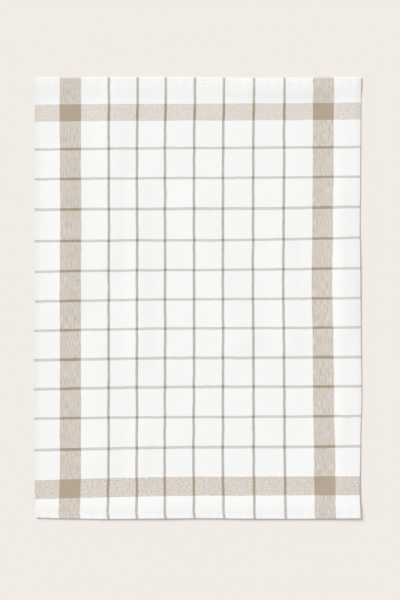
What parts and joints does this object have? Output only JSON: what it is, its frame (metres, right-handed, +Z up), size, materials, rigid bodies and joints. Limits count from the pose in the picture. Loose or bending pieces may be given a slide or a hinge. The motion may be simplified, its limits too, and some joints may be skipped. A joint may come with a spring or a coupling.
{
  "type": "tea towel",
  "caption": "Flat woven cotton kitchen cloth with a windowpane check, border bands, a sewn hem at each end and selvedges down the sides.",
  "frame": {"origin": "middle of the cloth's outline, on the surface that it lies on", "axes": "+X across the cloth from selvedge to selvedge, +Y along it from hem to hem, +Z up from the surface that it lies on"},
  "size_m": [0.5026, 0.6772, 0.0042],
  "materials": {
    "cotton": "plain woven cotton, matt, pressed"
  },
  "bodies": {
    "root": {"towel": "cotton"}
  },
  "joints": []
}
